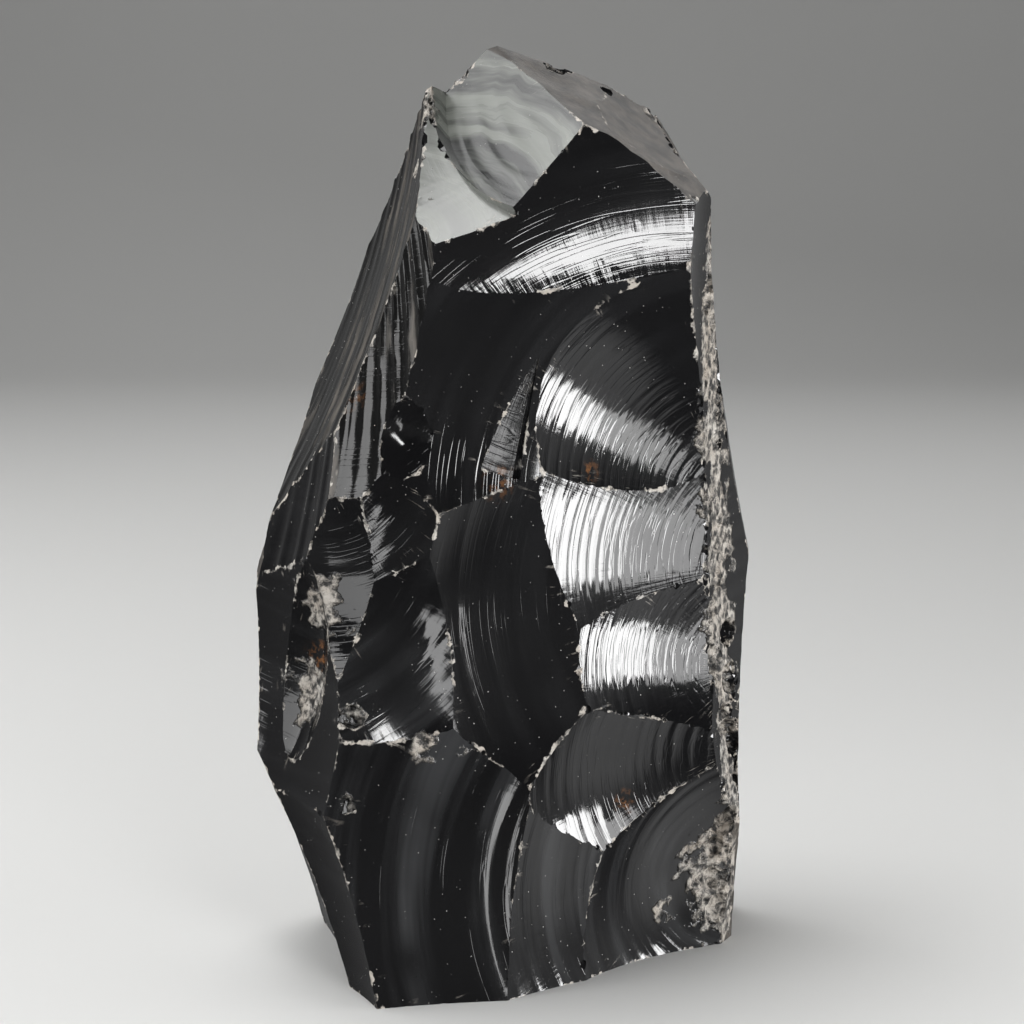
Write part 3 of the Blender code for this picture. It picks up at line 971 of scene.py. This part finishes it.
def softbox(name, place, azimuth, elevation, distance, size, radiance, slant=0.0):
    """A softbox that faces a place on the stone.

    azimuth is from the front (-Y) towards +X, and elevation up from there. slant turns its first side up from
    the level, in the direction of growing azimuth."""
    turn, lift, roll = (math.radians(angle) for angle in (azimuth, elevation, slant))
    way = Vector((math.sin(turn) * math.cos(lift), -math.cos(turn) * math.cos(lift), math.sin(lift)))
    aside = Vector((math.cos(turn), math.sin(turn), 0.0))
    side = aside * math.cos(roll) + way.cross(aside) * math.sin(roll)
    lamp = bpy.data.lights.new(name, "AREA")
    lamp.shape = "RECTANGLE"
    lamp.size, lamp.size_y = size
    lamp.energy = radiance * math.pi * size[0] * size[1]
    made = bpy.data.objects.new(name, lamp)
    bpy.context.scene.collection.objects.link(made)
    made.location = Vector(place) + way * distance
    made.rotation_mode = "QUATERNION"
    made.rotation_quaternion = Matrix((side, way.cross(side), way)).transposed().to_quaternion()
    made.visible_camera = False


def softboxes():
    """Each one stands where the glass mirrors it towards the camera in the scars that shine."""
    softbox("key", (0.03, -0.01, 0.075), 84, -5, 0.42, (0.17, 0.13), 20.0)
    softbox("key_edge", (0.03, -0.01, 0.095), 60, -4, 0.42, (0.19, 0.13), 6.5)
    softbox("trough_strip", (0.01, -0.03, 0.185), 15.5, 14, 0.45, (0.25, 0.05), 22.0, slant=-45)
    softbox("front_strip", (-0.01, -0.035, 0.09), 6.5, -7, 0.50, (0.045, 0.26), 6.0)
    softbox("left", STONE_HEART, -72, 3, 0.80, (0.80, 0.26), 3.0)
    softbox("crown", STONE_HEART, -92, 38, 0.95, (1.5, 0.36), 4.0)
    softbox("top", STONE_HEART, -110, 78, 1.05, (0.8, 0.5), 6.0)
    softbox("back", STONE_HEART, 160, 32, 1.2, (1.2, 0.5), 1.2)


def room():
    """The grey room round the stone: a band at eye level that is brighter at the right, and a pale table."""
    world = bpy.data.worlds.new("studio")
    world.use_nodes = True
    t = Tree(world.node_tree)
    x, y, z = t.split(t.node("TexCoord", {}, output=0))
    band = t.times(t.step(z, -0.5, -0.02), t.step(z, 0.32, 0.02))
    right = t.step(x, 0.64, 0.92, 0.3, 1.0)
    grey = t.times(t.times(band, right), BAND_GREY)
    grey = t.plus(grey, t.step(z, 0.1, -0.3, 0.05, 0.09))
    across, ahead, up = (t.times(part, share) for part, share in zip((x, y, z), TABLE_WAY))
    to_table = t.plus(across, t.plus(ahead, up))
    grey = t.plus(grey, t.step(to_table, 0.91, 0.99, 0.0, TABLE_GREY))
    t.feed(t.nodes["Background"].inputs["Color"], t.vector(grey, grey, grey))
    bpy.context.scene.world = world
    bpy.context.scene.view_settings.view_transform = "Standard"


def sweep():
    """A pale floor that curves up behind the stone into a backdrop."""
    profile = [(FLOOR_FRONT, 0.0), (FLOOR_BACK, 0.0)]
    for angle in np.linspace(0.1, math.pi / 2, 16):
        y = FLOOR_BACK + FLOOR_BEND * math.sin(angle)
        profile.append((y, FLOOR_BEND - FLOOR_BEND * math.cos(angle)))
    profile.append((FLOOR_BACK + FLOOR_BEND, BACKDROP_TOP))
    points = [(x, y, z) for y, z in profile for x in (-FLOOR_SIDE, FLOOR_SIDE)]
    faces = [(2 * i, 2 * i + 1, 2 * i + 3, 2 * i + 2) for i in range(len(profile) - 1)]
    mesh = bpy.data.meshes.new("floor")
    mesh.from_pydata(points, [], faces)
    mesh.shade_smooth()
    material, t, shader = new_material("floor")
    t.feed(shader["Base Color"], FLOOR_PALE)
    t.feed(shader["Roughness"], FLOOR_ROUGHNESS)
    mesh.materials.append(material)
    made = bpy.data.objects.new("floor", mesh)
    bpy.context.scene.collection.objects.link(made)
    made.visible_glossy = False


def camera():
    data = bpy.data.cameras.new("camera")
    data.lens = LENS
    data.sensor_width = SENSOR
    data.clip_start = NEAREST_SEEN
    made = bpy.data.objects.new("camera", data)
    bpy.context.scene.collection.objects.link(made)
    made.location = CAMERA_PLACE
    made.rotation_euler = (math.pi / 2 - math.radians(CAMERA_DOWN), 0.0, 0.0)
    bpy.context.scene.camera = made


stone = build_stone()
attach(stone, "root")
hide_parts("obsidian_chunk")
softboxes()
room()
sweep()
camera()
